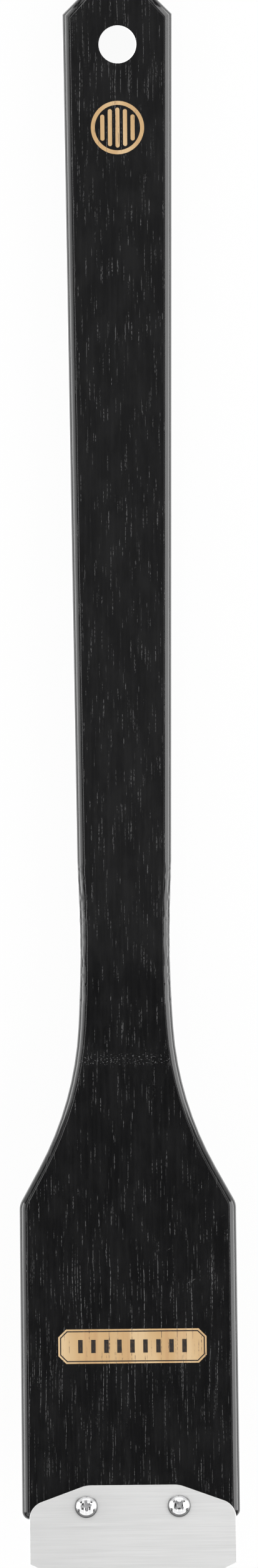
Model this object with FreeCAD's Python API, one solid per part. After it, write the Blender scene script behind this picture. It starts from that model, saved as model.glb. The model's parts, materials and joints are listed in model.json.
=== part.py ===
import FreeCAD, Part
import math
import os

# A long-handled grill brush, lying as it is put down: on its bristles and on the end of its handle.
# Millimetres, +Z up, +Y towards the end of the handle, -Y towards the scraper.
#
# The brush is drawn in the frame of its block and then turned into that pose. In the block's frame
# the top face lies at z = 0, the front end at y = 0, and the middle at x = 0.

vector = FreeCAD.Vector

# The wooden blank
board_thickness = 19.0
block_width = 72.0
block_length = 104.7
edge_radius = 2.8
rear_corner_radius = 6.0

# Its outline behind the block: a straight flare, two hollow arcs into the neck, then one full arc into
# the handle's taper. The angles are measured from the brush's length.
flare_straight = 13.7
flare_radius = 112.6
neck_radius = 445.0
neck_angle = 3.6
neck_exit_angle = 2.8
waist_width = 30.1
taper_radius = 130.0
handle_length = 404.2
handle_end_width = 36.4
end_clip = 9.2

# The bend in the neck that lifts the handle, by its distance behind the block's rear corners
bend_start = 66.0
bend_radius = 110.0
bend_angle = 15.0

# The hole to hang the brush by
hanging_hole_diameter = 12.5
hanging_hole_to_end = 19.1

# The tufts of wire and the holes that they are set in, both measured across their flats
tuft_rows = 10
tufts_in_long_row = 5
tuft_pitch = 12.8
row_pitch = 9.3
first_row_to_front = 14.5
tuft_hole_width = 5.0
tuft_hole_depth = 11.0
tuft_clearance = 0.06
tuft_strands = 6
bristle_length = 31.0
tuft_splay = 2.4

# The flat wire anchors that hold the tufts, as long as the holes are wide
anchor_thickness = 0.5
anchor_height = 1.8
fold_thickness = 0.9

# The scraper
plate_thickness = 1.2
plate_width = 68.0
plate_rear_width = 30.6
plate_seat_length = 10.8
plate_shoulder_drop = 6.8
plate_overhang = 18.4
plate_corner_radius = 6.0
plate_rear_radius = 9.0
plate_clip_width = 7.0
plate_clip_length = 3.4
plate_side_shift = 0.5

# Its two screws
screw_spacing = 30.6
screw_to_front = 3.8
screw_head_diameter = 7.6
screw_head_height = 2.5
screw_head_flat = 4.6
screw_diameter = 3.8
screw_length = 15.0
screw_clearance = 0.05
screw_pilot_spare = 0.6
plate_hole_clearance = 0.3
recess_length = 4.0
recess_width = 0.9
recess_depth = 1.5


def side_point(distance, depth):
    """The point at a distance behind the block along the top face, sunk into the board, as (y, z)."""
    turn = math.radians(bend_angle)
    arc_length = bend_radius * turn
    along_arc = min(max(distance - bend_start, 0.0), arc_length)
    beyond = max(distance - bend_start - arc_length, 0.0)
    angle = along_arc / bend_radius
    straight = min(distance, bend_start) + beyond * math.cos(turn)
    y = block_length + straight + (bend_radius + depth) * math.sin(angle)
    z = bend_radius - (bend_radius + depth) * math.cos(angle) + beyond * math.sin(turn)
    return y, z


def board_side():
    """The board seen from its side: flat over the block, one bend, straight along the handle."""
    arc_length = bend_radius * math.radians(bend_angle)
    stations = [bend_start, bend_start + arc_length / 2, bend_start + arc_length, handle_length]
    top = [vector(0, *side_point(s, 0.0)) for s in stations]
    under = [vector(0, *side_point(s, board_thickness)) for s in stations]
    front_top = vector(0, 0, 0)
    front_under = vector(0, 0, -board_thickness)
    edges = [
        Part.makeLine(front_top, top[0]),
        Part.Arc(*top[:3]).toShape(),
        Part.makeLine(top[2], top[3]),
        Part.makeLine(top[3], under[3]),
        Part.makeLine(under[3], under[2]),
        Part.Arc(*reversed(under[:3])).toShape(),
        Part.makeLine(under[0], front_under),
        Part.makeLine(front_under, front_top),
    ]
    face = Part.Face(Part.Wire(edges))
    face.translate(vector(-block_width, 0, 0))
    return face.extrude(vector(2 * block_width, 0, 0))


def plan_y(distance):
    """How far from the block's front a point of the top face lies, seen from straight above."""
    return side_point(distance, 0.0)[0]


def outward(angle):
    """The direction in plan that is square to a wall, where the wall leaves +Y by an angle to the middle."""
    return vector(math.cos(math.radians(angle)), math.sin(math.radians(angle)), 0)


def along(angle):
    """The direction in plan of such a wall, away from the block."""
    return vector(-math.sin(math.radians(angle)), math.cos(math.radians(angle)), 0)


def wall_arc(start, radius, angle, end_angle):
    """An arc of the wall from one direction to another, and its end. It is full where radius is negative."""
    centre = start + outward(angle) * radius
    middle = centre - outward((angle + end_angle) / 2) * radius
    end = centre - outward(end_angle) * radius
    return Part.Arc(start, middle, end).toShape(), end


def flare_angle():
    """The angle of the flare that brings the outline from the block's width to the waist's."""
    narrowing = (block_width - waist_width) / 2
    sought = narrowing - neck_radius + (neck_radius - flare_radius) * math.cos(math.radians(neck_angle))
    reach = math.hypot(flare_straight, flare_radius)
    return math.degrees(math.asin(sought / reach) + math.atan2(flare_radius, flare_straight))


def outline_half():
    """One side of the plan, from the block's front corner to beyond the end of the handle."""
    slope = flare_angle()
    corner = vector(block_width / 2, block_length, 0)
    tangent_length = rear_corner_radius * math.tan(math.radians(slope / 2))
    front_corner = vector(block_width / 2, 0, 0)
    corner_start = corner - along(0) * tangent_length
    corner_arc, corner_end = wall_arc(corner_start, -rear_corner_radius, 0, slope)
    flare_end = corner + along(slope) * flare_straight
    flare_arc, neck = wall_arc(flare_end, flare_radius, slope, neck_angle)
    neck_arc, taper_start = wall_arc(neck, neck_radius, neck_angle, -neck_exit_angle)
    handle_end = vector(handle_end_width / 2, plan_y(handle_length), 0)
    from_centre = handle_end - taper_start + outward(-neck_exit_angle) * taper_radius
    taper = math.atan2(from_centre.y, from_centre.x) - math.acos(taper_radius / from_centre.Length)
    taper_angle = math.degrees(taper)
    taper_arc, straight_start = wall_arc(taper_start, -taper_radius, -neck_exit_angle, taper_angle)
    past_end = handle_end + along(taper_angle) * board_thickness
    return [
        Part.makeLine(front_corner, corner_start),
        corner_arc,
        Part.makeLine(corner_end, flare_end),
        flare_arc,
        neck_arc,
        taper_arc,
        Part.makeLine(straight_start, past_end),
    ]


def board_plan():
    """The board seen from above, as a prism that is taller than the bent board."""
    right = outline_half()
    left = [edge.mirror(vector(0, 0, 0), vector(1, 0, 0)) for edge in right]
    front = Part.makeLine(left[0].Vertexes[0].Point, right[0].Vertexes[0].Point)
    end = Part.makeLine(right[-1].Vertexes[-1].Point, left[-1].Vertexes[-1].Point)
    edges = Part.__sortEdges__([front, *right, end, *left])
    face = Part.Face(Part.Wire(edges))
    face.translate(vector(0, 0, -2 * board_thickness))
    return face.extrude(vector(0, 0, handle_length))


def in_handle_frame(shape):
    """Move a shape whose origin is the end of the handle's top face, +Y out of the end, to its place."""
    placed = shape.copy()
    placed.rotate(vector(0, 0, 0), vector(1, 0, 0), bend_angle)
    placed.translate(vector(0, *side_point(handle_length, 0.0)))
    return placed


def end_clips():
    """The two wedges that are sawn off the corners of the handle's end."""
    wedges = []
    for side in (-1, 1):
        outside = side * (handle_end_width / 2 + end_clip)
        points = [
            vector(side * (handle_end_width / 2 - end_clip), 0, -2 * board_thickness),
            vector(side * (handle_end_width / 2 - 2 * end_clip), end_clip, -2 * board_thickness),
            vector(outside, end_clip, -2 * board_thickness),
            vector(outside, -2 * end_clip, -2 * board_thickness),
        ]
        face = Part.Face(Part.makePolygon([*points, points[0]]))
        wedges.append(in_handle_frame(face.extrude(vector(0, 0, 3 * board_thickness))))
    return wedges


def sharp_edges(solid, least_angle):
    """The edges whose two faces meet at more than an angle in degrees."""
    found = []
    for edge in solid.Edges:
        faces = solid.ancestorsOfType(edge, Part.Face)
        if len(faces) != 2:
            continue
        middle = edge.valueAt((edge.FirstParameter + edge.LastParameter) / 2)
        normals = []
        for face in faces:
            u, v = face.Surface.parameter(middle)
            normals.append(face.normalAt(u, v))
        if math.degrees(normals[0].getAngle(normals[1])) > least_angle:
            found.append(edge)
    return found


def hanging_hole():
    """The bore near the handle's end, square to the handle."""
    foot = vector(0, -hanging_hole_to_end, -board_thickness)
    return in_handle_frame(Part.makeCylinder(hanging_hole_diameter / 2, board_thickness, foot))


def tuft_places(row):
    """Where the tufts of a row stand, by (x, y). Every second row has one tuft less and stands between."""
    count = tufts_in_long_row - row % 2
    y = first_row_to_front + row * row_pitch
    return [((i - (count - 1) / 2) * tuft_pitch, y) for i in range(count)]


def anchor(x, y):
    """A flat piece of wire across the tuft's fold, wedged between two walls of the hole."""
    bottom = -board_thickness + tuft_hole_depth - fold_thickness - anchor_height
    corner = vector(x - tuft_hole_width / 2, y - anchor_thickness / 2, bottom)
    return Part.makeBox(tuft_hole_width, anchor_thickness, anchor_height, corner)


def tuft_section(width, x, y):
    """The corners of a tuft or of its hole at the block's underside, with flats that face along X."""
    radius = width / 2 / math.cos(math.pi / tuft_strands)
    angles = [math.tau * (i + 0.5) / tuft_strands for i in range(tuft_strands)]
    return [vector(x + radius * math.cos(a), y + radius * math.sin(a), -board_thickness) for a in angles]


def bored(corners):
    """The prism from a section at the underside up to the floor of a tuft's hole."""
    return Part.Face(Part.makePolygon([*corners, corners[0]])).extrude(vector(0, 0, tuft_hole_depth))


def tuft(x, y):
    """Wires folded over an anchor: gathered by the hole, and splayed outside it in separate strands."""
    mouth = tuft_section(tuft_hole_width - 2 * tuft_clearance, x, y)
    middle = vector(x, y, -board_thickness)
    strands = []
    for i, corner in enumerate(mouth):
        next_corner = mouth[(i + 1) % tuft_strands]
        lean = (corner + next_corner - middle * 2).normalize() * tuft_splay
        strand = Part.Face(Part.makePolygon([middle, corner, next_corner, middle]))
        strands.append(strand.extrude(lean - vector(0, 0, bristle_length)))
    return bored(mouth).multiFuse(strands).removeSplitter().cut(anchor(x, y))


def screw_places():
    """The middles of the two screws on the block's top face."""
    return [(side * screw_spacing / 2 + plate_side_shift, screw_to_front) for side in (-1, 1)]


def scraper_plate():
    """A flat steel plate with a narrower round-cornered rear, round shoulders and clipped front corners."""
    half = plate_width / 2
    shoulder_y = plate_seat_length - plate_shoulder_drop
    points = [
        vector(plate_rear_width / 2, plate_seat_length, 0),
        vector(half, shoulder_y, 0),
        vector(half, plate_clip_length - plate_overhang, 0),
        vector(half - plate_clip_width, -plate_overhang, 0),
    ]
    mirrored = [vector(-p.x, p.y, 0) for p in reversed(points)]
    outline = [*points, *mirrored, points[0]]
    plate = Part.Face(Part.makePolygon(outline)).extrude(vector(0, 0, plate_thickness))
    shoulders = [e for e in plate.Edges if is_upright_at(e, half, shoulder_y)]
    plate = plate.makeFillet(plate_corner_radius, shoulders)
    rear = [e for e in plate.Edges if is_upright_at(e, plate_rear_width / 2, plate_seat_length)]
    plate = plate.makeFillet(plate_rear_radius, rear)
    plate.translate(vector(plate_side_shift, 0, 0))
    for x, y in screw_places():
        radius = screw_diameter / 2 + plate_hole_clearance
        plate = plate.cut(Part.makeCylinder(radius, plate_thickness, vector(x, y, 0)))
    return plate


def is_upright_at(edge, half_width, y):
    """Whether an edge runs along Z at a place on either side of the middle."""
    start, stop = edge.Vertexes[0].Point, edge.Vertexes[-1].Point
    upright = abs(start.x - stop.x) < 1e-6 and abs(start.y - stop.y) < 1e-6
    return upright and abs(abs(start.x) - half_width) < 1e-6 and abs(start.y - y) < 1e-6


def scraper_screw(x, y):
    """A pan-head screw with a cross recess, standing on the plate with its shank down in the wood."""
    radius = screw_diameter / 2
    profile = [
        vector(0, 0, -screw_length),
        vector(radius, 0, -screw_length),
        vector(radius, 0, 0),
        vector(screw_head_diameter / 2, 0, 0),
        vector(screw_head_flat / 2, 0, screw_head_height),
        vector(0, 0, screw_head_height),
        vector(0, 0, -screw_length),
    ]
    screw = Part.Face(Part.makePolygon(profile)).revolve(vector(0, 0, 0), vector(0, 0, 1), 360)
    slot_bottom = screw_head_height - recess_depth
    for size_x, size_y in ((recess_length, recess_width), (recess_width, recess_length)):
        corner = vector(-size_x / 2, -size_y / 2, slot_bottom)
        screw = screw.cut(Part.makeBox(size_x, size_y, recess_depth, corner))
    screw.translate(vector(x, y, plate_thickness))
    return screw


def pilot_hole(x, y):
    """The hole in the block that a screw is driven into."""
    radius = screw_diameter / 2 + screw_clearance
    depth = screw_length - plate_thickness + screw_pilot_spare
    return Part.makeCylinder(radius, depth, vector(x, y, -depth))


def handle_block():
    """Block and handle in one piece of wood, with every edge rounded and every hole bored."""
    wood = board_side().common(board_plan()).cut(end_clips()).Solids[0]
    wood = wood.makeFillet(edge_radius, sharp_edges(wood, 60.0))
    bores = [hanging_hole()]
    bores += [pilot_hole(x, y) for x, y in screw_places()]
    for row in range(tuft_rows):
        bores += [bored(tuft_section(tuft_hole_width, x, y)) for x, y in tuft_places(row)]
    return wood.cut(bores)


def rest_angle(last_row):
    """How far the block's front is raised, in degrees, once the brush lies on its last row and its end.

    The rearmost tip of the last row and the round lower edge of the handle's end then touch one level line.
    """
    lowest = last_row.BoundBox.ZMin
    tips = [v.Point for v in last_row.Vertexes if v.Point.z < lowest + 1e-6]
    tip_y = max(p.y for p in tips)
    turn = math.radians(bend_angle)
    end_y, end_z = side_point(handle_length, board_thickness)
    centre_y = end_y - edge_radius * (math.cos(turn) + math.sin(turn))
    centre_z = end_z + edge_radius * (math.cos(turn) - math.sin(turn))
    span_y = centre_y - tip_y
    span_z = centre_z - lowest
    return math.degrees(math.atan2(span_z, span_y) - math.asin(edge_radius / math.hypot(span_y, span_z)))


def grill_brush():
    """Every piece of the brush in the block's frame, by its name."""
    pieces = {
        "handle_block": handle_block(),
        "scraper_plate": scraper_plate(),
        "scraper_screws": Part.makeCompound([scraper_screw(x, y) for x, y in screw_places()]),
    }
    for row in range(tuft_rows):
        number = f"{row + 1:02d}"
        places = tuft_places(row)
        pieces["tuft_row_" + number] = Part.makeCompound([tuft(x, y) for x, y in places])
        pieces["anchor_row_" + number] = Part.makeCompound([anchor(x, y) for x, y in places])
    return pieces


def lay_down(pieces):
    """Turn the brush into the pose it rests in, on z = 0 with the middle of its box at x = y = 0."""
    last_row = pieces[f"tuft_row_{tuft_rows:02d}"]
    angle = rest_angle(last_row)
    for shape in pieces.values():
        shape.rotate(vector(0, 0, 0), vector(1, 0, 0), -angle)
    box = Part.makeCompound(list(pieces.values())).optimalBoundingBox(False, False)
    for shape in pieces.values():
        shape.translate(vector(-box.Center.x, -box.Center.y, -box.ZMin))
    print("front raised by", round(angle, 2), "degrees")
    print("box", round(box.XLength, 2), round(box.YLength, 2), round(box.ZLength, 2))


brush = grill_brush()
lay_down(brush)
os.makedirs("parts", exist_ok=True)
for name, shape in brush.items():
    shape.exportStep("parts/" + name + ".step")
print(len(brush), "pieces")
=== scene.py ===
import json
from math import atan2, cos, pi, radians, sin, tan, tau

import bmesh
import bpy
import numpy as np
from mathutils import Matrix, Vector


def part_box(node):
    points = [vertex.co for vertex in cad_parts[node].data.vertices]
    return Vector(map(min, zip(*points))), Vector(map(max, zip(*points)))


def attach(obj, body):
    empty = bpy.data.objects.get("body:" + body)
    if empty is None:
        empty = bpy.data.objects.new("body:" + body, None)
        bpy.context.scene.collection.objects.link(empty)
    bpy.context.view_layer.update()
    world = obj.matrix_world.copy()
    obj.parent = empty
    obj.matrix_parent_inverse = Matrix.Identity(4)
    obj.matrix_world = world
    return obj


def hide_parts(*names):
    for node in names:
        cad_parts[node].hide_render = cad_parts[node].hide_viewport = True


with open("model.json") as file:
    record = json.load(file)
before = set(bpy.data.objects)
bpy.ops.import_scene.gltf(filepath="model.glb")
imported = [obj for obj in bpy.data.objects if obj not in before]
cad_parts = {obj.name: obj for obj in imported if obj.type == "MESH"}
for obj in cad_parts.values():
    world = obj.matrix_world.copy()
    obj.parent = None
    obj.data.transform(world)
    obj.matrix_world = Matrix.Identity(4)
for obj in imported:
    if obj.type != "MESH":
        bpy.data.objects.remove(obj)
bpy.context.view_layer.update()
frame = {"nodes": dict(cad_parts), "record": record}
mm = 0.001

# A long grill brush that lies on its bristles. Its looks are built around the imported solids.

# The board that handle and block are cut from, as the solids have it.
board = {
    "thickness": 19 * mm,
    "blockLength": 104.7 * mm,
    "bendStart": 66 * mm,  # behind the block's rear corners, along the top face
    "bendRadius": 110 * mm,
    "bendAngle": radians(15),
    "handleLength": 404.2 * mm,  # from the rear corners to the handle's end
    "edgeRadius": 2.8 * mm,
}

# The scraper plate, of which the box gives the place of the block.
plate = {
    "thickness": 1.2 * mm,
    "overhang": 18.4 * mm,
    "edgeBevel": 0.14 * mm,
    "steel": ((0.68, 0.68, 0.676, 1), (0.74, 0.74, 0.736, 1)),
    "leftSteel": (0.6, 0.6, 0.6, 1),
    "streakSteel": (0.5, 0.5, 0.5, 1),
    "roughness": (0.42, 0.48),
}


# The block's frame: +y from its front edge towards the handle, +z out of its top face. The hanging hole
# stands square to the handle, so its axis and the bend together give the block's slope.
def blockFrame():
    axis = frame["record"]["mounts"][0]["axis"]
    slope = atan2(axis[1], axis[2]) + board["bendAngle"]
    low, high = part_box("scraper_plate")
    axes = np.array([(1, 0, 0), (0, cos(slope), -sin(slope)), (0, sin(slope), cos(slope))])
    originY = low[1] + plate["overhang"] * cos(slope)
    originZ = high[2] - plate["overhang"] * sin(slope) - plate["thickness"] * cos(slope)
    return np.array([0, originY, originZ]), axes, slope


origin, blockAxes, blockSlope = blockFrame()
print("block slopes", round(blockSlope / pi * 180, 2), "degrees")


# Points in the block's frame to world points.
def toWorld(points):
    return origin + np.asarray(points, float) @ blockAxes


# World points to the block's frame.
def toBlock(points):
    return (np.asarray(points, float) - origin) @ blockAxes.T


# Board coordinates (across, along, sunk into the board) to world points: straight over the block, on a
# circle round the bend's centre, and straight again along the handle.
def fromBoard(across, along, sunk):
    across, along, sunk = np.broadcast_arrays(across, along, sunk)
    start = board["blockLength"] + board["bendStart"]
    radius = board["bendRadius"]
    arc = radius * board["bendAngle"]
    angle = np.clip(along - start, 0, arc) / radius
    beyond = np.maximum(along - start - arc, 0)
    y = np.minimum(along, start) + beyond * cos(board["bendAngle"]) + (radius + sunk) * np.sin(angle)
    z = radius - (radius + sunk) * np.cos(angle) + beyond * sin(board["bendAngle"])
    return toWorld(np.stack([across, y, z], -1))


# The way back: world points to (across, along, sunk).
def toBoard(points):
    x, y, z = toBlock(points).T
    start = board["blockLength"] + board["bendStart"]
    radius = board["bendRadius"]
    bend = board["bendAngle"]
    fromY, fromZ = y - start, radius - z
    angle = np.clip(np.arctan2(fromY, fromZ), 0, bend)
    outward = fromY * np.sin(angle) + fromZ * np.cos(angle)
    forward = fromY * np.cos(angle) - fromZ * np.sin(angle)
    along = start + radius * angle + forward
    return x, along, outward - radius


# A piece from its points and faces, smooth or flat, riding the one body.
def newPiece(name, points, faces, smooth=True):
    mesh = bpy.data.meshes.new(name)
    mesh.from_pydata(np.asarray(points, float).tolist(), [], faces)
    mesh.validate()
    mesh.polygons.foreach_set("use_smooth", [smooth] * len(mesh.polygons))
    mesh.update()
    piece = bpy.data.objects.new(name, mesh)
    bpy.context.collection.objects.link(piece)
    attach(piece, "root")
    return piece


# The quads between rings of points, each ring closed on itself and joined to the next one.
def ringFaces(rings, sides, start=0):
    i = np.arange(rings - 1)[:, None] * sides
    j = np.arange(sides)
    after = (j + 1) % sides
    return np.stack([i + j, i + after, i + sides + after, i + sides + j], -1).reshape(-1, 4) + start


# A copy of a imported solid, whose loose triangles are joined at their corners.
def mergedCopy(node, name):
    mesh = bpy.data.meshes.new(name)
    work = bmesh.new()
    work.from_mesh(frame["nodes"][node].data)
    bmesh.ops.remove_doubles(work, verts=work.verts, dist=0.001 * mm)
    work.to_mesh(mesh)
    work.free()
    piece = bpy.data.objects.new(name, mesh)
    bpy.context.collection.objects.link(piece)
    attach(piece, "root")
    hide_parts(node)
    return piece


# Marks the edges sharp where two faces meet at more than an angle, and smooths all the rest.
def smoothBelow(piece, angle):
    work = bmesh.new()
    work.from_mesh(piece.data)
    for face in work.faces:
        face.smooth = True
    for edge in work.edges:
        edge.smooth = len(edge.link_faces) == 2 and edge.calc_face_angle() < angle
    work.to_mesh(piece.data)
    work.free()
    weighted = piece.modifiers.new("flat faces stay flat", "WEIGHTED_NORMAL")
    weighted.mode = "FACE_AREA_WITH_ANGLE"
    weighted.keep_sharp = True


# Shader nodes.

# A node with its settings. An input is a plain value or the socket that feeds it.
def addNode(tree, kind, inputs, **settings):
    node = tree.nodes.new(kind)
    for key, value in settings.items():
        setattr(node, key, value)
    for key, value in inputs.items():
        if isinstance(value, bpy.types.NodeSocket):
            tree.links.new(value, node.inputs[key])
        else:
            node.inputs[key].default_value = value
    return node


def calc(tree, operation, first, second=0.0, clamp=False):
    node = addNode(tree, "ShaderNodeMath", {0: first, 1: second}, operation=operation, use_clamp=clamp)
    return node.outputs[0]


# The product of two or more values.
def times(tree, product, *factors):
    for factor in factors:
        product = calc(tree, "MULTIPLY", product, factor)
    return product


# The three coordinates of a vector, by their names.
def split(tree, vector):
    return addNode(tree, "ShaderNodeSeparateXYZ", {0: vector}).outputs


# A value carried from one range to another with soft ends.
def ramp(tree, value, fromLow, fromHigh, toLow=0.0, toHigh=1.0):
    inputs = {
        "Value": value, "From Min": fromLow, "From Max": fromHigh, "To Min": toLow, "To Max": toHigh,
    }
    node = addNode(tree, "ShaderNodeMapRange", inputs, interpolation_type="SMOOTHSTEP")
    return node.outputs["Result"]


# Where a value lies between two limits, with soft ends of a given width.
def between(tree, value, low, high, soft):
    return times(tree, ramp(tree, value, low, low + soft), ramp(tree, value, high, high - soft))


def mixColour(tree, factor, first, second):
    node = addNode(tree, "ShaderNodeMix", {0: factor, 6: first, 7: second}, data_type="RGBA")
    return node.outputs[2]


def noise(tree, vector, scale, detail=2.0, roughness=0.5, dimensions="3D"):
    inputs = {"Vector": vector, "Scale": scale, "Detail": detail, "Roughness": roughness}
    return addNode(tree, "ShaderNodeTexNoise", inputs, noise_dimensions=dimensions).outputs["Fac"]


# A vector stretched, then turned, then moved, by a Mapping node.
def mapped(tree, vector, scale=(1, 1, 1), turn=(0, 0, 0), shift=(0, 0, 0)):
    inputs = {"Vector": vector, "Scale": scale, "Rotation": turn, "Location": shift}
    return addNode(tree, "ShaderNodeMapping", inputs).outputs["Vector"]


def objectPlace(tree):
    return addNode(tree, "ShaderNodeTexCoord", {}).outputs["Object"]


def grainPlace(tree):
    return addNode(tree, "ShaderNodeUVMap", {}, uv_map="grain").outputs["UV"]


def bump(tree, height, distance, strength=1.0):
    inputs = {"Height": height, "Distance": distance, "Strength": strength}
    return addNode(tree, "ShaderNodeBump", inputs).outputs["Normal"]


# An empty node group with named inputs and outputs.
def newGroup(name, inputs, outputs):
    tree = bpy.data.node_groups.new(name, "ShaderNodeTree")
    for label, kind, value in inputs:
        socket = tree.interface.new_socket(label, in_out="INPUT", socket_type=kind)
        if value is not None:
            socket.default_value = value
    for label in outputs:
        tree.interface.new_socket(label, in_out="OUTPUT", socket_type="NodeSocketFloat")
    return tree, tree.nodes.new("NodeGroupInput").outputs, tree.nodes.new("NodeGroupOutput").inputs


# A material and its Principled shader. Plain numbers go on the shader's own sockets.
def newMaterial(name, **values):
    material = bpy.data.materials.new(name)
    material.use_nodes = True
    tree = material.node_tree
    shader = tree.nodes["Principled BSDF"]
    for key, value in values.items():
        shader.inputs[key.replace("_", " ")].default_value = value
    return material, tree, shader


def feed(tree, shader, **sockets):
    for key, socket in sockets.items():
        tree.links.new(socket, shader.inputs[key.replace("_", " ")])


# Open pores: ellipses round the points of a stretched cell pattern, a share of them kept, each of its
# own size and tone, broken up by fine noise.
def makePoreGroup():
    inputs = [
        ("Vector", "NodeSocketVector", None),
        ("Spacing Across", "NodeSocketFloat", 1.2 * mm),
        ("Spacing Along", "NodeSocketFloat", 20 * mm),
        ("Width", "NodeSocketFloat", 0.2),
        ("Share", "NodeSocketFloat", 0.8),
        ("Waviness", "NodeSocketFloat", 0.5 * mm),
    ]
    tree, given, result = newGroup("openPores", inputs, ["Mask", "Tone"])
    parts = split(tree, given["Vector"])
    slow = noise(tree, mapped(tree, given["Vector"], (25, 22, 1)), 1.0, 1.0, dimensions="2D")
    quick = noise(tree, mapped(tree, given["Vector"], (60, 150, 1)), 1.0, 1.0, dimensions="2D")
    drift = calc(tree, "ADD", slow, times(tree, quick, 0.22))
    wave = times(tree, calc(tree, "SUBTRACT", drift, 0.6), given["Waviness"])
    across = calc(tree, "DIVIDE", calc(tree, "ADD", parts["X"], wave), given["Spacing Across"])
    along = calc(tree, "DIVIDE", parts["Y"], given["Spacing Along"])
    place = addNode(tree, "ShaderNodeCombineXYZ", {"X": across, "Y": along}).outputs[0]
    inputs = {"Vector": place, "Scale": 1.0}
    cells = addNode(tree, "ShaderNodeTexVoronoi", inputs, voronoi_dimensions="2D").outputs
    draws = addNode(tree, "ShaderNodeSeparateColor", {0: cells["Color"]}).outputs
    size = times(tree, given["Width"], ramp(tree, draws["Green"], 0.0, 1.0, 0.4, 1.0))
    shape = ramp(tree, cells["Distance"], size, times(tree, size, 0.45))
    kept = calc(tree, "LESS_THAN", draws["Red"], given["Share"])
    grit = noise(tree, mapped(tree, given["Vector"], (2500, 1000, 1)), 1.0, 1.0, dimensions="2D")
    broken = ramp(tree, grit, 0.43, 0.6, 0.12, 1.0)
    tree.links.new(times(tree, shape, kept, broken), result["Mask"])
    tree.links.new(ramp(tree, draws["Blue"], 0.0, 1.0, 0.2, 1.0), result["Tone"])
    return tree


poreGroup = makePoreGroup()

grain = {
    "linesEnd": 86 * mm,  # long lines up to here from the block's front, short dashes behind
    "linesBlend": 16 * mm,
    "linesAgain": 455 * mm,  # and long lines again near the hole
    "dashesAmongLines": 0.75,
    "endGrain": 14,  # times closer together on the two ends
    "dash": {"Spacing Across": 1.15 * mm, "Spacing Along": 21 * mm, "Width": 0.19, "Share": 0.85},
    "faint": {"Spacing Across": 0.62 * mm, "Spacing Along": 30 * mm, "Width": 0.18, "Share": 0.6},
    "line": {
        "Spacing Across": 0.78 * mm, "Spacing Along": 95 * mm, "Width": 0.165, "Share": 0.9,
        "Waviness": 2.2 * mm,
    },
    "nickPlace": (150.5 * mm, 155 * mm),  # a row of tiny nicks across the neck
    "scratchFrom": (12 * mm, 62 * mm),  # faint scratches beyond this place, (across, along)
    "scratchEnd": 108 * mm,
    "scratchTurn": radians(62),
    "scratch": {"Spacing Across": 5 * mm, "Spacing Along": 60 * mm, "Width": 0.03, "Share": 0.8},
}


# A pore group at a place, with one kind's values.
def placePores(tree, place, kind):
    group = addNode(tree, "ShaderNodeGroup", {}, node_tree=poreGroup)
    tree.links.new(place, group.inputs["Vector"])
    for label, value in grain[kind].items():
        group.inputs[label].default_value = value
    return group.outputs


# Masks of the asked kinds of pore on the grain map, each kind where it shows.
def poreMasks(tree, *kinds):
    place = grainPlace(tree)
    along = split(tree, place)["Y"]
    half = grain["linesBlend"] / 2
    front = ramp(tree, along, grain["linesEnd"] + half, grain["linesEnd"] - half)
    rear = ramp(tree, along, grain["linesAgain"] - half, grain["linesAgain"] + half)
    lined = calc(tree, "ADD", front, rear, clamp=True)
    dashed = calc(tree, "SUBTRACT", 1.0, lined)
    mingled = calc(tree, "ADD", dashed, times(tree, lined, grain["dashesAmongLines"]))
    where = {"line": lined, "dash": mingled, "faint": 1.0}
    masks = []
    for kind in kinds:
        pores = placePores(tree, place, kind)
        masks.append(times(tree, pores["Mask"], where[kind], pores["Tone"]))
    return place, masks


# Use marks in the lacquer: a row of tiny nicks across the neck and a few faint slanted scratches.
def wearMask(tree, place):
    parts = split(tree, place)
    low, high = grain["nickPlace"]
    grit = noise(tree, mapped(tree, place, (1500, 2400, 1)), 1.0, 1.0, dimensions="2D")
    nicks = ramp(tree, grit, 0.66, 0.74, 0.0, 0.8)
    nicks = times(tree, nicks, between(tree, parts["Y"], low, high, 1.5 * mm))
    scratches = placePores(tree, mapped(tree, place, turn=(0, 0, grain["scratchTurn"])), "scratch")
    across, along = grain["scratchFrom"]
    beside = ramp(tree, parts["X"], across, across + 4 * mm)
    behind = between(tree, parts["Y"], along, grain["scratchEnd"], 4 * mm)
    return calc(tree, "MAXIMUM", nicks, times(tree, scratches["Mask"], beside, behind, 0.7))


# Handle and block: one board under black lacquer.

lacquer = {
    "black": (0.004, 0.004, 0.0043, 1),
    "worn": (0.0078, 0.0078, 0.0081, 1),
    "pore": (0.1, 0.1, 0.101, 1),
    "poreDepth": 0.1 * mm,
    "gloss": 0.12,
    "unevenness": 0.06,
    "poreShares": (0.72, 0.38, 0.3),  # how far lines, dashes and faint pores show
}


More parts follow.
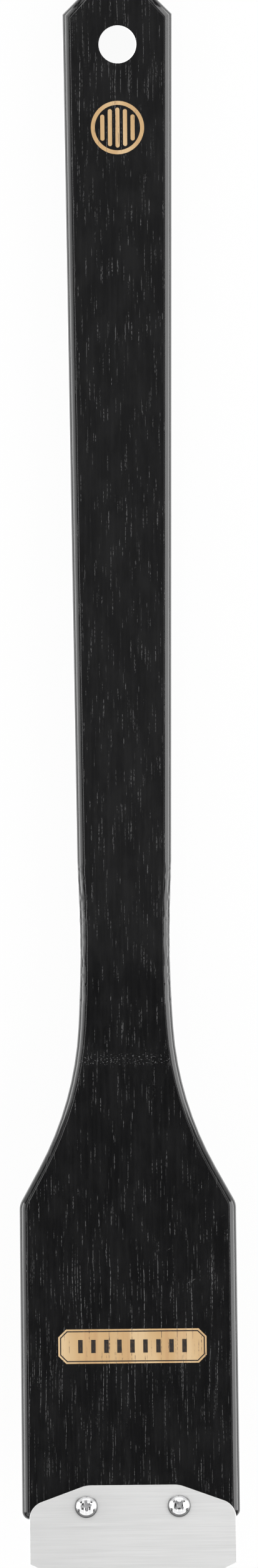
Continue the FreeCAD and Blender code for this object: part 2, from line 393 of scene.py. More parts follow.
def makeLacquer():
    values = {"Specular_IOR_Level": 0.4, "Coat_Weight": 0.6, "Coat_Roughness": 0.08}
    material, tree, shader = newMaterial("blackLacquer", **values)
    place, masks = poreMasks(tree, "line", "dash", "faint")
    cloud = noise(tree, mapped(tree, place, (130, 60, 1)), 1.0, 5.0, 0.65, dimensions="2D")
    film = mixColour(tree, ramp(tree, cloud, 0.35, 0.7), lacquer["black"], lacquer["worn"])
    pores = wearMask(tree, place)
    for mask, share in zip(masks, lacquer["poreShares"]):
        pores = calc(tree, "MAXIMUM", pores, times(tree, mask, share))
    colour = mixColour(tree, pores, film, lacquer["pore"])
    streaks = noise(tree, mapped(tree, place, (900, 30, 1)), 1.0, 3.0, 0.6, dimensions="2D")
    uneven = times(tree, ramp(tree, streaks, 0.3, 0.7), lacquer["unevenness"])
    rough = calc(tree, "ADD", uneven, lacquer["gloss"])
    rough = calc(tree, "ADD", rough, times(tree, pores, 0.4), clamp=True)
    relief = calc(tree, "SUBTRACT", times(tree, streaks, 0.03), pores)
    normal = bump(tree, relief, lacquer["poreDepth"])
    feed(tree, shader, Base_Color=colour, Roughness=rough, Normal=normal)
    return material


# The grain map: u goes across and on down the sides, v goes along and, drawn close together as end grain
# is, on down the two ends.
def addGrainMap(piece):
    mesh = piece.data
    points = np.empty(len(mesh.vertices) * 3)
    mesh.vertices.foreach_get("co", points)
    x, along, sunk = toBoard(points.reshape(-1, 3))
    corner = np.empty(len(mesh.loops), int)
    mesh.loops.foreach_get("vertex_index", corner)
    middles = np.empty(len(mesh.polygons) * 3)
    mesh.polygons.foreach_get("center", middles)
    sizes = np.empty(len(mesh.polygons), int)
    mesh.polygons.foreach_get("loop_total", sizes)
    side = np.repeat(np.sign(middles.reshape(-1, 3)[:, 0]), sizes)
    end = board["blockLength"] + board["handleLength"]
    fade = board["edgeRadius"]
    atFront = np.clip(1 - along / fade, 0, 1)
    atEnd = np.clip((along - end) / fade + 1, 0, 1)
    u = x[corner] + side * (sunk * (1 - atFront) * (1 - atEnd))[corner]
    v = (along + sunk * (atEnd - atFront) * grain["endGrain"])[corner]
    mesh.uv_layers.new(name="grain").data.foreach_set("uv", np.stack([u, v], -1).ravel())


blackLacquer = makeLacquer()
woodenBody = mergedCopy("handle_block", "lacquered_body")
addGrainMap(woodenBody)
smoothBelow(woodenBody, radians(30))
woodenBody.data.materials.append(blackLacquer)
print("handle and block done")


# Two plain marks, where the lacquer is left off and the bare wood shows.

marks = {
    "lift": 0.05 * mm,
    "barLift": 0.08 * mm,
    "panelMiddle": (1.0 * mm, 56.9 * mm),  # (across, along)
    "panelSize": (49 * mm, 11.4 * mm),
    "panelClip": 2.6 * mm,
    "rim": 0.55 * mm,
    "line": 0.4 * mm,
    "barCount": 9,
    "barSize": (1.5 * mm, 4.4 * mm),
    "barPitch": 4.3 * mm,
    "discMiddle": (-0.2 * mm, 462.4 * mm),
    "discRadius": 8.8 * mm,
    "ringWidth": 1.3 * mm,
    "grateBars": 5,
    "gratePitch": 2.5 * mm,
    "grateBar": 1.35 * mm,
    "grateRadius": 6.6 * mm,
    "wood": ((0.57, 0.41, 0.23, 1), (0.47, 0.3, 0.137, 1)),
    "bandWood": (0.42, 0.24, 0.11, 1),
    "poreWood": (0.09, 0.05, 0.027, 1),
    "burnt": ((0.012, 0.009, 0.008, 1), (0.05, 0.03, 0.018, 1)),
}


# A rectangle with clipped corners, drawn in by an inset, as eight points.
def clippedRectangle(size, clip, inset):
    halfX, halfY = size[0] / 2 - inset, size[1] / 2 - inset
    cut = clip - inset * (2 - 2 ** 0.5)
    corners = [(1, -1, 0), (1, 1, 1), (-1, 1, 0), (-1, -1, 1)]
    points = []
    for signX, signY, flip in corners:
        first = (signX * halfX, signY * (halfY - cut))
        second = (signX * (halfX - cut), signY * halfY)
        points += [first, second] if flip else [second, first]
    return np.array(points)


# A circle: radius times the cosine and sine of an even run of angles.
def circlePoints(radius, count=72):
    angle = np.arange(count) * tau / count
    return radius * np.stack([np.cos(angle), np.sin(angle)], -1)


# Flat faces just over the top face of the board, bent with it. Each layer is (outer outline, inner
# outline or None, lift, number of its material).
def markPiece(name, middle, layers, materials):
    points, faces, kinds = [], [], []
    for outer, inner, lift, kind in layers:
        start = sum(len(p) for p in points)
        count = len(outer)
        ring = [outer] if inner is None else [outer, inner]
        flat = np.concatenate(ring) + middle
        points.append(fromBoard(flat[:, 0], flat[:, 1], -lift))
        if inner is None:
            made = [list(range(start, start + count))]
        else:
            made = ringFaces(2, count, start).tolist()
            made = [face[::-1] for face in made]
        faces += made
        kinds += [kind] * len(made)
    piece = newPiece(name, np.concatenate(points), faces, smooth=False)
    for material in materials:
        piece.data.materials.append(material)
    piece.data.polygons.foreach_set("material_index", kinds)
    addGrainMap(piece)


def makeBareWood():
    material, tree, shader = newMaterial("bareWood", Roughness=0.5)
    place, (lines, dashes) = poreMasks(tree, "line", "dash")
    bands = noise(tree, mapped(tree, place, (420, 9, 1)), 1.0, 3.0, 0.55, dimensions="2D")
    broad = noise(tree, mapped(tree, place, (90, 12, 1)), 1.0, 2.0, 0.5, dimensions="2D")
    colour = mixColour(tree, ramp(tree, broad, 0.35, 0.65), *marks["wood"])
    colour = mixColour(tree, ramp(tree, bands, 0.5, 0.75, 0.0, 0.5), colour, marks["bandWood"])
    pores = calc(tree, "MAXIMUM", lines, dashes)
    filled = calc(tree, "MULTIPLY", pores, 1.2, clamp=True)
    colour = mixColour(tree, filled, colour, marks["poreWood"])
    relief = calc(tree, "SUBTRACT", times(tree, bands, 0.3), pores)
    feed(tree, shader, Base_Color=colour, Normal=bump(tree, relief, 0.08 * mm))
    return material


def makeBurntLine():
    material, tree, shader = newMaterial("burntLine", Specular_IOR_Level=0.3)
    speck = noise(tree, mapped(tree, grainPlace(tree), (2200, 900, 1)), 1.0, 2.0, dimensions="2D")
    colour = mixColour(tree, ramp(tree, speck, 0.45, 0.8), *marks["burnt"])
    feed(tree, shader, Base_Color=colour, Roughness=ramp(tree, speck, 0.2, 0.8, 0.45, 0.75))
    return material


# Bare wood with a burnt line inside its rim and a row of short burnt bars.
def makePanel(materials):
    size, clip = marks["panelSize"], marks["panelClip"]
    rim, line, lift = marks["rim"], marks["line"], marks["lift"]
    outlines = [clippedRectangle(size, clip, inset) for inset in (0, rim, rim + line)]
    layers = [
        (outlines[0], outlines[1], lift, 0),
        (outlines[1], outlines[2], lift, 1),
        (outlines[2], None, lift, 0),
    ]
    barX, barY = np.array(marks["barSize"]) / 2
    for i in range(marks["barCount"]):
        shift = np.array([(i - (marks["barCount"] - 1) / 2) * marks["barPitch"], 0])
        bar = np.array([(barX, -barY), (barX, barY), (-barX, barY), (-barX, -barY)]) + shift
        layers.append((bar, None, marks["barLift"], 1))
    markPiece("front_mark", marks["panelMiddle"], layers, materials)


# A ring round a small grate of parallel bars, each as long as its chord of the inner circle.
def makeDisc(materials):
    lift = marks["lift"]
    outer = marks["discRadius"]
    layers = [(circlePoints(outer), circlePoints(outer - marks["ringWidth"]), lift, 0)]
    for i in range(marks["grateBars"]):
        x = (i - (marks["grateBars"] - 1) / 2) * marks["gratePitch"]
        reach = (marks["grateRadius"] ** 2 - x ** 2) ** 0.5
        half = marks["grateBar"] / 2
        turn = np.linspace(0, pi, 9)
        top = np.stack([x + half * np.cos(turn), reach - half + half * np.sin(turn)], -1)
        layers.append((np.concatenate([top, 2 * np.array([x, 0]) - top]), None, lift, 0))
    markPiece("end_mark", marks["discMiddle"], layers, materials)


markMaterials = [makeBareWood(), makeBurntLine()]
makePanel(markMaterials)
makeDisc(markMaterials)
print("marks done")


# Scraper plate.

# Steel brushed across the brush: noise drawn out along x, a little darker on the left.
def makeSteel():
    material, tree, shader = newMaterial("brushedSteel", Metallic=0.8)
    place = mapped(tree, objectPlace(tree), turn=(blockSlope, 0, 0))
    fine = noise(tree, mapped(tree, place, (45, 3200, 3200)), 1.0, 3.0, 0.6)
    coarse = noise(tree, mapped(tree, place, (30, 900, 900)), 1.0, 2.0, 0.5)
    patch = noise(tree, mapped(tree, place, (28, 60, 60)), 1.0, 2.0, 0.5)
    left = ramp(tree, split(tree, place)["X"], 12 * mm, -30 * mm)
    streak = times(tree, ramp(tree, coarse, 0.56, 0.74), ramp(tree, patch, 0.4, 0.6))
    streak = times(tree, streak, ramp(tree, left, 0.0, 1.0, 0.25, 1.0))
    colour = mixColour(tree, ramp(tree, fine, 0.3, 0.7), *plate["steel"])
    colour = mixColour(tree, times(tree, left, 0.25), colour, plate["leftSteel"])
    colour = mixColour(tree, times(tree, streak, 0.2), colour, plate["streakSteel"])
    rough = ramp(tree, fine, 0.2, 0.8, *plate["roughness"])
    feed(tree, shader, Base_Color=colour, Roughness=rough, Normal=bump(tree, fine, 0.004 * mm, 0.5))
    return material


# Joins the coplanar triangles so that only true edges take the bevel.
def makePlate():
    piece = mergedCopy("scraper_plate", "brushed_scraper")
    work = bmesh.new()
    work.from_mesh(piece.data)
    bmesh.ops.dissolve_limit(work, angle_limit=radians(1), verts=work.verts, edges=work.edges)
    work.to_mesh(piece.data)
    work.free()
    rounded = piece.modifiers.new("broken edges", "BEVEL")
    rounded.width = plate["edgeBevel"]
    rounded.segments = 3
    rounded.limit_method = "ANGLE"
    rounded.angle_limit = radians(40)
    rounded.harden_normals = True
    smoothBelow(piece, radians(30))
    piece.data.materials.append(makeSteel())


makePlate()
print("scraper done")


# Screws.

screw = {
    "headRadius": 3.8 * mm,
    "headHeight": 2.5 * mm,
    "dome": 2.2,  # the powers of the head's rounded profile
    "fall": 2.0,
    "headRings": 26,
    "headSides": 72,
    "undercut": 0.97,  # of the head's radius, where it rests on the plate
    "coreRadius": 1.35 * mm,
    "crestRadius": 1.88 * mm,
    "length": 15 * mm,
    "tipLength": 3.2 * mm,
    "tipFullness": 0.8,
    "plainLength": 2.4 * mm,
    "threadPitch": 1.35 * mm,
    "threadSharpness": 3.2,
    "shankRings": 150,
    "shankSides": 32,
    "recessReach": 2.0 * mm,
    "recessHalfWidth": 0.48 * mm,
    "recessCore": 0.92 * mm,
    "recessDepth": 1.5 * mm,
    "recessScales": (1.06, 1.0, 0.5),  # above the crown, at the crown and at the bottom
    "recessSides": 96,
    "toFront": 3.8 * mm,
    "turns": (radians(7), radians(46)),  # how far each recess is turned
    "shadeHeight": (1.75 * mm, 0.8 * mm),  # above the plate, painted shade darkens the plating from the first down,
    "shadeRear": (3.3 * mm, 1.8 * mm),  # but not this far behind the middle of the head,
    "shadeRadius": (2.3 * mm, 2.8 * mm),  # nor this near to its axis
    "recessTop": (2.15 * mm, 1.95 * mm),  # above the plate, below which the recess is duller
    "plating": ((0.60, 0.60, 0.61, 1), (0.72, 0.72, 0.72, 1)),
    # the colour of the painted shade round the foot of each head
    "shade": (0.03, 0.03, 0.032, 1),
}


# A surface of revolution: radius and height along a profile, carried round the z axis. The radius may
# also change with the angle, as a thread's does.
def revolved(radius, height, sides):
    angle = np.arange(sides) * tau / sides
    radius = np.broadcast_to(radius.reshape(len(height), -1), (len(height), sides))
    x, y = radius * np.cos(angle), radius * np.sin(angle)
    z = np.broadcast_to(height[:, None], x.shape)
    return np.stack([x, y, z], -1).reshape(-1, 3)


# The head's rounded profile: the height is the crown's, times a root of one minus a power of the radius.
def headProfile():
    r = np.sin(np.linspace(0.03, 1, screw["headRings"]) * pi / 2) * screw["headRadius"]
    rise = np.clip(1 - (r / screw["headRadius"]) ** screw["dome"], 0, 1) ** (1 / screw["fall"])
    return r, rise * screw["headHeight"]


# The head as a closed solid of revolution, flat underneath.
def makeHead():
    r, z = headProfile()
    r = np.concatenate([r, [screw["headRadius"] * screw["undercut"], screw["crestRadius"]]])
    z = np.concatenate([z, [0, 0]])
    return solidFrom("head", revolved(r, z, screw["headSides"]), closedRings(len(r), screw["headSides"]))


# The cross recess as a tapered plug. Its outline is the farther of a round core and the four arms, each
# arm a band of constant width up to its reach.
def recessCutter(turn):
    sides = screw["recessSides"]
    angle = (np.arange(sides) + 0.5) * tau / sides
    c, s = np.abs(np.cos(angle)), np.abs(np.sin(angle))
    ends, flanks = screw["recessReach"] / np.maximum(c, s), screw["recessHalfWidth"] / np.minimum(c, s)
    outline = np.maximum(screw["recessCore"], np.minimum(ends, flanks))
    crown = screw["headHeight"]
    levels = np.array([crown + 0.4 * mm, crown, crown - screw["recessDepth"]])
    radius = np.array(screw["recessScales"])[:, None] * outline
    z = np.broadcast_to(levels[:, None], radius.shape)
    points = np.stack([radius * np.cos(angle + turn), radius * np.sin(angle + turn), z], -1)
    return solidFrom("recess", points.reshape(-1, 3), closedRings(3, sides))


# Walls between rings of points, and a cap on the first and the last ring.
def closedRings(rings, sides, start=0):
    cap = np.arange(start, start + sides)
    walls = ringFaces(rings, sides, start)[:, ::-1].tolist()
    return walls + [cap.tolist(), (cap + (rings - 1) * sides)[::-1].tolist()]


# A loose solid with its faces turned outwards.
def solidFrom(name, points, faces):
    mesh = bpy.data.meshes.new(name)
    mesh.from_pydata(np.asarray(points, float).tolist(), [], faces)
    mesh.validate()
    work = bmesh.new()
    work.from_mesh(mesh)
    bmesh.ops.recalc_face_normals(work, faces=work.faces)
    work.to_mesh(mesh)
    work.free()
    return bpy.data.objects.new(name, mesh)


# Cuts one solid out of another and returns the mesh that is left.
def cutOut(solid, tool):
    for obj in (solid, tool):
        bpy.context.collection.objects.link(obj)
    cut = solid.modifiers.new("cut", "BOOLEAN")
    cut.object = tool
    cut.operation = "DIFFERENCE"
    cut.solver = "EXACT"
    depsgraph = bpy.context.evaluated_depsgraph_get()
    mesh = bpy.data.meshes.new_from_object(solid.evaluated_get(depsgraph))
    for obj in (solid, tool):
        bpy.data.objects.remove(obj)
    return mesh


# The shank: a core with one helical ridge, whose height above the core goes with the triangle wave of
# the angle and the depth. The plain neck and the tip fade it out.
def shankPoints():
    sides = screw["shankSides"]
    depth = np.linspace(0, 1, screw["shankRings"]) ** 0.9 * screw["length"]
    angle = np.arange(sides) * tau / sides
    phase = (depth[:, None] / screw["threadPitch"] + angle / tau) % 1
    ridge = np.clip(1 - np.abs(phase - 0.5) * screw["threadSharpness"], 0, 1)
    tip = np.clip((screw["length"] - depth) / screw["tipLength"], 0.02, 1)
    begun = np.clip((depth - screw["plainLength"]) / screw["threadPitch"], 0, 1)
    core = screw["coreRadius"] + (screw["crestRadius"] - screw["coreRadius"]) * (1 - begun)
    height = (screw["crestRadius"] - screw["coreRadius"]) * ridge * begun[:, None]
    radius = (core[:, None] + height) * tip[:, None] ** screw["tipFullness"]
    return revolved(radius, -depth, sides)


# The place of the screws across the brush: the middle between them and each one's distance from it.
def screwPlaces():
    low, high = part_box("scraper_screws")
    return (high[0] + low[0]) / 2, (high[0] - low[0]) / 2 - screw["headRadius"]


# Bright plating with painted shade, dark round the foot of each head except to the rear, and duller in
# the recess. Height and distance from the head's axis are found in the block's frame.
def makePlating():
    material, tree, shader = newMaterial("brightPlating", Metallic=1.0)
    place = objectPlace(tree)
    smear = noise(tree, place, 900.0, 3.0)
    colour = mixColour(tree, ramp(tree, smear, 0.3, 0.7), *screw["plating"])
    inBlock = mapped(tree, place, turn=(blockSlope, 0, 0), shift=toBlock([0, 0, 0]).tolist())
    x, y, z = split(tree, inBlock).values()
    height = calc(tree, "SUBTRACT", z, plate["thickness"])
    behind = calc(tree, "SUBTRACT", y, screw["toFront"])
    middle, spacing = screwPlaces()
    aside = calc(tree, "ABSOLUTE", calc(tree, "SUBTRACT", x, middle))
    aside = calc(tree, "SUBTRACT", aside, spacing)
    squares = calc(tree, "ADD", times(tree, aside, aside), times(tree, behind, behind))
    outer = ramp(tree, calc(tree, "SQRT", squares), *screw["shadeRadius"])
    low = ramp(tree, height, *screw["shadeHeight"])
    ahead = ramp(tree, behind, *screw["shadeRear"])
    # Painted shade: low on each head the plating is mixed towards the shade colour, except to the rear and
    # near the head's axis.
    colour = mixColour(tree, times(tree, low, ahead, outer, 0.9), colour, screw["shade"])
    sunk = times(tree, ramp(tree, height, *screw["recessTop"]), calc(tree, "SUBTRACT", 1.0, outer))
    rough = ramp(tree, smear, 0.35, 0.75, 0.05, 0.14)
    rough = calc(tree, "ADD", rough, times(tree, sunk, 0.3))
    feed(tree, shader, Base_Color=colour, Roughness=rough, Normal=bump(tree, smear, 0.004 * mm))
    return material


# The points and the faces of a mesh, as arrays and lists.
def meshData(mesh, start):
    points = np.empty(len(mesh.vertices) * 3)
    mesh.vertices.foreach_get("co", points)
    corners = np.empty(len(mesh.loops), int)
    mesh.loops.foreach_get("vertex_index", corners)
    sizes = np.empty(len(mesh.polygons), int)
    mesh.polygons.foreach_get("loop_total", sizes)
    faces = np.split(corners + start, np.cumsum(sizes)[:-1])
    return points.reshape(-1, 3), [face.tolist() for face in faces]


def makeScrews():
    middle, spacing = screwPlaces()
    points, faces = [], []
    count = 0
    for side, turn in zip((-1, 1), screw["turns"]):
        place = np.array([middle + side * spacing, screw["toFront"], plate["thickness"]])
        head, made = meshData(cutOut(makeHead(), recessCutter(turn)), count)
        points.append(head + place)
        faces += made
        count += len(head)
        shank = shankPoints()
        points.append(shank + place)
        faces += closedRings(screw["shankRings"], screw["shankSides"], count)
        count += len(shank)
    piece = newPiece("cross_recess_screws", toWorld(np.concatenate(points)), faces)
    work = bmesh.new()
    work.from_mesh(piece.data)
    bmesh.ops.recalc_face_normals(work, faces=work.faces)
    work.to_mesh(piece.data)
    work.free()
    smoothBelow(piece, radians(35))
    piece.data.materials.append(makePlating())
    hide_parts("scraper_screws")


makeScrews()
print("screws done")


# Wire tufts.

tufts = {
    "rows": 10,
    "longRow": 5,
    "pitch": 12.8 * mm,
    "rowPitch": 9.3 * mm,
    "firstRow": 14.5 * mm,
    "holeWidth": 5.0 * mm,
    "clearance": 0.06 * mm,
    "bristle": 31.0 * mm,
    "splay": 2.4 * mm,
    "anchorThickness": 0.5 * mm,
    "anchorBottom": 10.7 * mm,  # this and the next two below the top face
    "foldTop": 8.25 * mm,
    "waist": 14.5 * mm,  # where each leg is half way from its fold to its place in the mouth
    "wire": 0.42 * mm,
    "columns": 10,
    "layers": 3,
    "foldSteps": (0.55, 0.62),  # of a wire, from anchor to first layer and between layers
    "mouthGap": 0.36 * mm,
    "mouthStep": 0.62 * mm,  # the same in the hole's mouth
    "layerPlace": (0.15, 0.85),  # where in its layer a wire may lie
    "straying": 0.06 * mm,
    "splayShare": (0.8, 0.98),
    "shortness": (0.05 * mm, 0.9 * mm),  # of the single wires
    "bow": 0.16 * mm,
    "curve": 1.15,  # how late the legs lean out
    "stations": 8,
    "archTurns": (150, 120, 90, 60, 30),
    "sides": 5,
    "brass": ((0.47, 0.31, 0.10, 1), (0.72, 0.53, 0.23, 1)),
    "dullBrass": (0.34, 0.22, 0.09, 1),
}


# The course of one tuft's wires in the tuft's own frame: each goes up one side of the anchor, over it in a
# half circle and down the other side, and below the hole both legs lean out as the tuft splays.
def wireCourses(draw):
    columns, layers = tufts["columns"], tufts["layers"]
    column = np.tile(np.arange(columns), layers) / (columns - 1) * 2 - 1
    layer = np.repeat(np.arange(layers), columns)
    count = len(column)
    radius = tufts["holeWidth"] / 2 - tufts["clearance"]
    reachX = radius - tufts["wire"] / 2
    corner = radius / cos(pi / 6)
    first, step = tufts["foldSteps"]
    foldX = column * reachX
    foldY = tufts["anchorThickness"] / 2 + tufts["wire"] * (first + step * layer)
    foldZ = -tufts["foldTop"] - tufts["wire"] * step * (layers - 1 - layer)
    mouthZ = -board["thickness"]
    t = np.linspace(0, 1, tufts["stations"])[:, None]
    lean = t ** tufts["curve"]
    legs = []
    for side in (-1, 1):
        inLayer = layer + draw.uniform(*tufts["layerPlace"], count)
        mouthY = tufts["mouthGap"] + inLayer * tufts["mouthStep"]
        width = np.clip((corner - mouthY) / (corner / 2), 0, 1) * reachX
        mouthX = np.clip(column * width + draw.normal(0, tufts["straying"], count), -width, width)
        spread = tufts["splay"] / (tufts["holeWidth"] / 2) * draw.uniform(*tufts["splayShare"], count)
        fall = draw.uniform(*tufts["shortness"], count) - tufts["bristle"]
        bowX, bowY = draw.normal(0, tufts["bow"], (2, count))
        x = mouthX * (1 + spread * lean) + bowX * np.sin(t * pi)
        y = mouthY * (1 + spread * lean) + bowY * np.sin(t * pi)
        x = np.concatenate([[foldX, foldX, (foldX + mouthX) / 2], x])
        y = np.concatenate([[foldY, foldY, (foldY + mouthY) / 2], y])
        flat = np.ones(count)
        inside = [foldZ - foldY, -tufts["anchorBottom"] * flat, -tufts["waist"] * flat]
        z = np.concatenate([inside, mouthZ + fall * t])
        legs.append(np.stack([x, side * y, z], -1))
    turn = np.radians(tufts["archTurns"])[:, None]
    arch = np.stack([foldX + 0 * turn, foldY * np.cos(turn), foldZ - foldY + foldY * np.sin(turn)], -1)
    return np.concatenate([legs[0][::-1], arch, legs[1]])


# Tubes along many courses at once: at each station a ring square to the course, with its first axis
# kept near x.
def tubesAlong(courses, radius, sides):
    ahead = np.gradient(courses, axis=0)
    ahead /= np.linalg.norm(ahead, axis=-1, keepdims=True)
    first = np.array([1.0, 0, 0]) - ahead * ahead[..., :1]
    first /= np.linalg.norm(first, axis=-1, keepdims=True)
    second = np.cross(ahead, first)
    angle = np.arange(sides) * tau / sides
    ring = first[..., None, :] * np.cos(angle)[:, None] + second[..., None, :] * np.sin(angle)[:, None]
    points = courses[..., None, :] + radius * ring
    return points.transpose(1, 0, 2, 3)  # wire, station, side, coordinate


# The walls and the two end caps of every tube.
def tubeFaces(wires, stations, sides):
    one = ringFaces(stations, sides)
    offsets = np.arange(wires)[:, None, None] * stations * sides
    walls = (one[None] + offsets).reshape(-1, 4)
    cap = np.arange(sides)
    ends = np.stack([cap[::-1], cap + (stations - 1) * sides])
    caps = (ends[None] + offsets).reshape(-1, sides)
    return walls[:, ::-1].tolist(), caps[:, ::-1].tolist()


def makeBrass():
    material, tree, shader = newMaterial("drawnBrass", Metallic=1.0)
    place = objectPlace(tree)
    each = noise(tree, mapped(tree, place, (1600, 1600, 60)), 1.0, 2.0)
    dull = noise(tree, mapped(tree, place, (300, 300, 120)), 1.0, 3.0)
    colour = mixColour(tree, ramp(tree, each, 0.3, 0.7), *tufts["brass"])
    colour = mixColour(tree, ramp(tree, dull, 0.5, 0.8, 0.0, 0.5), colour, tufts["dullBrass"])
    rough = ramp(tree, dull, 0.3, 0.8, 0.22, 0.42)
    feed(tree, shader, Base_Color=colour, Roughness=rough, Normal=bump(tree, each, 0.01 * mm))
    return material


def makeTufts():
    brass = makeBrass()
    for row in range(tufts["rows"]):
        draw = np.random.default_rng(100 + row)
        count = tufts["longRow"] - row % 2
        y = tufts["firstRow"] + row * tufts["rowPitch"]
        groups = []
        for i in range(count):
            place = np.array([(i - (count - 1) / 2) * tufts["pitch"], y, 0])
            groups.append(wireCourses(draw) + place)
        courses = np.concatenate(groups, axis=1)
        points = tubesAlong(courses, tufts["wire"] / 2, tufts["sides"])
        wires, stations, sides = points.shape[:3]
        walls, caps = tubeFaces(wires, stations, sides)
        number = "%02d" % (row + 1)
        points = toWorld(points.reshape(-1, 3))
        piece = newPiece("wires_row_" + number, points, walls + caps)
        piece.data.materials.append(brass)
        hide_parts("tuft_row_" + number)


makeTufts()
print("tufts done")


# Anchors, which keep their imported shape.

anchor = {
    "steel": ((0.42, 0.42, 0.43, 1), (0.6, 0.6, 0.6, 1)),
    "roughness": (0.3, 0.5),
}


def makeAnchorSteel():
    material, tree, shader = newMaterial("anchorSteel", Metallic=1.0)
    drawn = noise(tree, mapped(tree, objectPlace(tree), (120, 4000, 4000)), 1.0, 3.0)
    colour = mixColour(tree, ramp(tree, drawn, 0.3, 0.7), *anchor["steel"])
    rough = ramp(tree, drawn, 0.2, 0.8, *anchor["roughness"])
    feed(tree, shader, Base_Color=colour, Roughness=rough, Normal=bump(tree, drawn, 0.01 * mm))
    return material


anchorSteel = makeAnchorSteel()
for name, node in frame["nodes"].items():
    if name.startswith("anchor_row"):
        node.data.materials.clear()
        node.data.materials.append(anchorSteel)
print("anchors done")


# Studio.

# Each lamp covers a range of degrees from straight above, at a level. Straight above and a little to the
# rear, where the faces of handle and block look, the room stays dark.
studio = {
    "floorHalf": 6.0,
    "floorGlow": 0.95,  # of what the camera sees of the floor, the rest keeps the shadow
    "floorBelow": 1.0,  # added where gloss looks steeply down, since the real floor is overexposed
    "floorSteep": (0.2, 0.6),  # from a level look to a steep one
    "worldFill": 0.08,
    "overheadGloss": (0.13, 0.04),  # what gloss sees straight above and further to the rear
    "overheadRear": (0.0, 0.35),
    "horizon": (0.45, 0.2),  # how high a look is, between which the room turns white to gloss
    "frontLow": (-0.45, -0.25),  # except far in front, where it stays dark low down too
    "sideReach": 1.55,
    "sideMiddle": 0.22,  # along the brush
    "sideLength": 1.2,
    "leftLamps": ((32, 48, 1.3), (48, 60, 2.0), (60, 75, 3.0), (75, 89.6, 4.8)),
    "rightLamps": ((26, 48, 3.2), (48, 60, 3.1), (60, 75, 3.2), (75, 89.6, 4.6)),
    "endReach": 1.85,
    "rearLamp": (33, 76, 1.25),
    "rearWidth": 2.2,
    "frontLamp": (13, 66, 1.25),
    "frontWidth": 4.2,
    "stripHeight": 1.6,
    "stripAngle": 12,
    "stripMiddle": 0.25,
    "stripSize": (2.2, 0.1),
    "stripLevels": (4.0, 1.8),
}


# A floor that is white for the camera, gloss and glass, and holds a little of the object's shadow.
def makeFloor():
    half = studio["floorHalf"]
    corners = [(-half, -half, 0), (half, -half, 0), (half, half, 0), (-half, half, 0)]
    mesh = bpy.data.meshes.new("pale_floor")
    mesh.from_pydata(corners, [], [(0, 1, 2, 3)])
    floor = bpy.data.objects.new("pale_floor", mesh)
    bpy.context.collection.objects.link(floor)
    material, tree, shader = newMaterial("paleFloor", Base_Color=(0.8, 0.8, 0.8, 1), Roughness=0.9)
    paths = addNode(tree, "ShaderNodeLightPath", {}).outputs
    seen = calc(tree, "MAXIMUM", paths["Is Camera Ray"], paths["Is Glossy Ray"])
    seen = calc(tree, "MAXIMUM", seen, paths["Is Transmission Ray"])
    incoming = split(tree, addNode(tree, "ShaderNodeNewGeometry", {}).outputs["Incoming"])
    steep = ramp(tree, incoming["Z"], *studio["floorSteep"])
    strength = calc(tree, "ADD", 1.0, times(tree, steep, paths["Is Glossy Ray"], studio["floorBelow"]))
    glow = addNode(tree, "ShaderNodeEmission", {"Color": (1, 1, 1, 1), "Strength": strength})
    share = times(tree, seen, studio["floorGlow"])
    blend = addNode(tree, "ShaderNodeMixShader", {0: share, 1: shader.outputs[0], 2: glow.outputs[0]})
    tree.links.new(blend.outputs[0], tree.nodes["Material Output"].inputs["Surface"])
    mesh.materials.append(material)


# White for the camera and, low down at the sides and the rear, for gloss. Overhead it stays dim, as a dark
# studio ceiling does.
def makeWorld():
    world = bpy.data.worlds.new("studio")
    world.use_nodes = True
    bpy.context.scene.world = world
    tree = world.node_tree
    background = tree.nodes["Background"]
    paths = addNode(tree, "ShaderNodeLightPath", {}).outputs
    direction = split(tree, addNode(tree, "ShaderNodeTexCoord", {}).outputs["Generated"])
    notAhead = ramp(tree, direction["Y"], *studio["frontLow"])
    gloss = times(tree, paths["Is Glossy Ray"], ramp(tree, direction["Z"], *studio["horizon"]), notAhead)
    seen = calc(tree, "MAXIMUM", paths["Is Camera Ray"], gloss)
    seen = calc(tree, "MAXIMUM", seen, paths["Is Transmission Ray"])
    overhead = ramp(tree, direction["Y"], *studio["overheadRear"], *studio["overheadGloss"])
    change = calc(tree, "SUBTRACT", overhead, studio["worldFill"])
    dim = calc(tree, "ADD", studio["worldFill"], times(tree, paths["Is Glossy Ray"], change))
    tree.links.new(calc(tree, "MAXIMUM", seen, dim), background.inputs["Strength"])
    background.inputs["Color"].default_value = (1, 1, 1, 1)


# A flat lamp of an even radiance, facing a point. Its power is radiance times area times pi.
def softbox(name, place, target, width, height, level):
    lamp = bpy.data.lights.new(name, "AREA")
    lamp.shape = "RECTANGLE"
    lamp.size, lamp.size_y = width, height
    lamp.energy = level * width * height * pi
    holder = bpy.data.objects.new(name, lamp)
    bpy.context.collection.objects.link(holder)
    place, target = Vector(place), Vector(target)
    holder.location = place
    holder.rotation_euler = (place - target).to_track_quat("Z", "Y").to_euler()


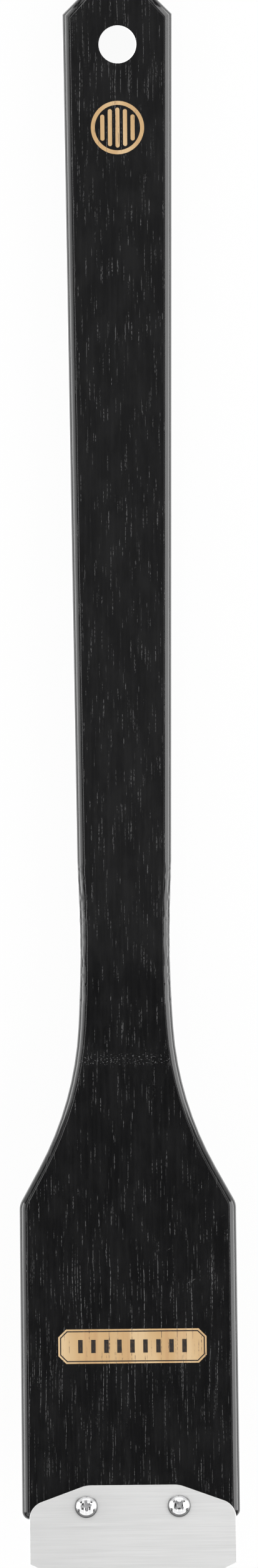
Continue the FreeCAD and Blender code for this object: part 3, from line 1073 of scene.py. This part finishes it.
# A lamp on a quarter circle round a point of the brush, over a range of degrees from straight above.
def arcLamp(name, heading, along, reach, length, lamp):
    lowest, highest, level = radians(lamp[0]), radians(lamp[1]), lamp[2]
    middle = (lowest + highest) / 2
    target = Vector((0, along, 0))
    place = target + Vector((*[axis * sin(middle) for axis in heading], cos(middle))) * reach
    softbox(name, place, target, length, 2 * reach * tan((highest - lowest) / 2), level)


def makeLights():
    reach, along, length = studio["sideReach"], studio["sideMiddle"], studio["sideLength"]
    for side, lamps in ((-1, studio["leftLamps"]), (1, studio["rightLamps"])):
        for lamp in lamps:
            arcLamp("side_box", (side, 0), along, reach, length, lamp)
    arcLamp("rear_box", (0, 1), 0, studio["endReach"], studio["rearWidth"], studio["rearLamp"])
    arcLamp("front_box", (0, -1), 0, studio["endReach"], studio["frontWidth"], studio["frontLamp"])
    height, along = studio["stripHeight"], studio["stripMiddle"]
    for side, level in zip((-1, 1), studio["stripLevels"]):
        x = side * height * tan(radians(studio["stripAngle"]))
        softbox("top_strip", (x, along, height), (0, along, 0), *studio["stripSize"], level)


# The camera, by its lean from straight above towards the handle and by the photograph's frame.
view = {
    "lean": radians(5.7),
    "left": radians(0.6),
    "roll": radians(0.474),
    "distance": 3.017,
    "shiftAcross": -0.00038,
    "shiftAlong": -0.1387,
    "lens": 209.07,
    "clip": (0.1, 50),
}


def makeCamera():
    lean, left, roll = view["lean"], view["left"], view["roll"]
    back = np.array([-sin(left), cos(left) * sin(lean), cos(left) * cos(lean)])
    up = np.array([0, 1.0, 0]) - back[1] * back
    up /= np.linalg.norm(up)
    right = np.cross(up, back)
    right, up = cos(roll) * right - sin(roll) * up, cos(roll) * up + sin(roll) * right
    aim = toWorld([0, board["blockLength"], 0])
    place = aim + back * view["distance"] - right * view["shiftAcross"] - up * view["shiftAlong"]
    camera = bpy.data.cameras.new("camera")
    camera.lens = view["lens"]
    camera.sensor_width = 36
    camera.clip_start, camera.clip_end = view["clip"]
    holder = bpy.data.objects.new("camera", camera)
    bpy.context.collection.objects.link(holder)
    turned = Matrix(np.array([right, up, back]).T.tolist()).to_4x4()
    holder.matrix_world = Matrix.Translation(Vector(place)) @ turned
    bpy.context.scene.camera = holder


makeFloor()
makeWorld()
makeLights()
makeCamera()
bpy.context.scene.view_settings.view_transform = "Standard"
print("studio done")
